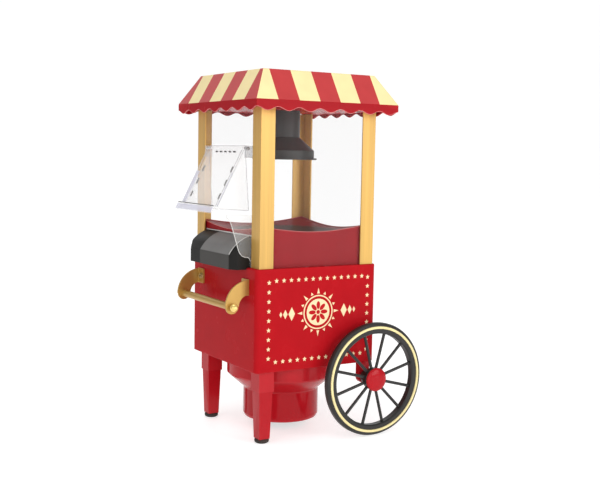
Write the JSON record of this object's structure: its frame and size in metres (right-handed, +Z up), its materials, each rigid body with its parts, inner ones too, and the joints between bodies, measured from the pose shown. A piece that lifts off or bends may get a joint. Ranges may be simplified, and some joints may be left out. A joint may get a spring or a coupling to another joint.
{
  "type": "popcorn maker",
  "caption": "Tabletop hot-air popcorn maker shaped like an old wheeled cart: red cabinet, gold corner posts, clear windows, striped scalloped canopy, spoked wheels and a hinged clear door.",
  "frame": {"origin": "centre of the bounding box's footprint, at the level of the surface it stands on", "axes": "+Z up, +X to the right of someone facing the chute's back (the right wheel), -Y the front with chute, handle and door"},
  "size_m": [0.2036, 0.2444, 0.4],
  "materials": {
    "red_plastic": "glossy red",
    "gold_metal": "satin gold",
    "black_plastic": "satin black",
    "clear_plastic": "clear moulded plastic",
    "rubber": "matt black",
    "steel": "plain steel",
    "aluminium": "spun aluminium",
    "mica": "mica sheet",
    "coil_wire": "resistance wire",
    "board": "circuit board",
    "fuse": "ceramic white",
    "rocker_plastic": "glossy black"
  },
  "bodies": {
    "cart": {"axle_bracket_left": "red_plastic", "axle_bracket_right": "red_plastic", "base_drum": "red_plastic", "cabinet_deck": "red_plastic", "cabinet_floor": "red_plastic", "cabinet_shell": "red_plastic", "ceiling_panel": "red_plastic", "chamber_base": "aluminium", "chute_guard": "clear_plastic", "cord_gland": "black_plastic", "foot_left": "rubber", "foot_right": "rubber", "front_leg_left": "red_plastic", "front_leg_right": "red_plastic", "front_transom": "clear_plastic", "handle_arm_left": "gold_metal", "handle_arm_right": "gold_metal", "handle_bar": "gold_metal", "handle_finials": "gold_metal", "handle_screws": "steel", "heater_frame": "mica", "heater_sleeve": "steel", "heating_coil": "coil_wire", "hinge_clip_left": "black_plastic", "hinge_clip_right": "black_plastic", "hood_bell": "black_plastic", "hood_duct": "black_plastic", "intake_grille": "black_plastic", "motor": "steel", "motor_plate": "steel", "outlet_chute": "black_plastic", "popping_chamber": "aluminium", "popping_funnel": "red_plastic", "post_front_left": "gold_metal", "post_front_right": "gold_metal", "post_rear_left": "gold_metal", "post_rear_right": "gold_metal", "rear_panel": "red_plastic", "rectifier_board": "board", "roof_canopy": "red_plastic", "roof_screws": "steel", "stub_axles": "steel", "switch_housing": "black_plastic", "thermal_fuse": "fuse", "thermostat": "steel", "window_left": "clear_plastic", "window_rear": "clear_plastic", "window_right": "clear_plastic"},
    "door": {"door_visor": "clear_plastic", "hinge_pins": "steel"},
    "wheel_right_turn": {"wheel_right": "black_plastic", "wheel_ring_right": "gold_metal", "hub_cap_right": "red_plastic"},
    "wheel_left_turn": {"wheel_left": "black_plastic", "wheel_ring_left": "gold_metal", "hub_cap_left": "red_plastic"},
    "fan_rotor": {"fan_impeller": "black_plastic", "motor_shaft": "steel"},
    "rocker": {"switch_rocker": "rocker_plastic"}
  },
  "joints": [
    {"name": "door_hinge", "type": "hinge", "parent": "cart", "child": "door", "pos_m": [0, -0.0805, 0.3174], "axis": [-1, 0, 0], "range_deg": [-27, 55]},
    {"name": "wheel_right_spin", "type": "hinge", "parent": "cart", "child": "wheel_right_turn", "pos_m": [0.0925, 0.0585, 0.0637], "axis": [1, 0, 0], "continuous": true},
    {"name": "wheel_left_spin", "type": "hinge", "parent": "cart", "child": "wheel_left_turn", "pos_m": [-0.0925, 0.0585, 0.0637], "axis": [1, 0, 0], "continuous": true},
    {"name": "fan_spin", "type": "hinge", "parent": "cart", "child": "fan_rotor", "pos_m": [0, -0.007, 0.095], "axis": [0, 0, 1], "continuous": true},
    {"name": "switch_tilt", "type": "hinge", "parent": "cart", "child": "rocker", "pos_m": [-0.038, 0.0698, 0.114], "axis": [1, 0, 0], "range_deg": [0, 14]}
  ]
}
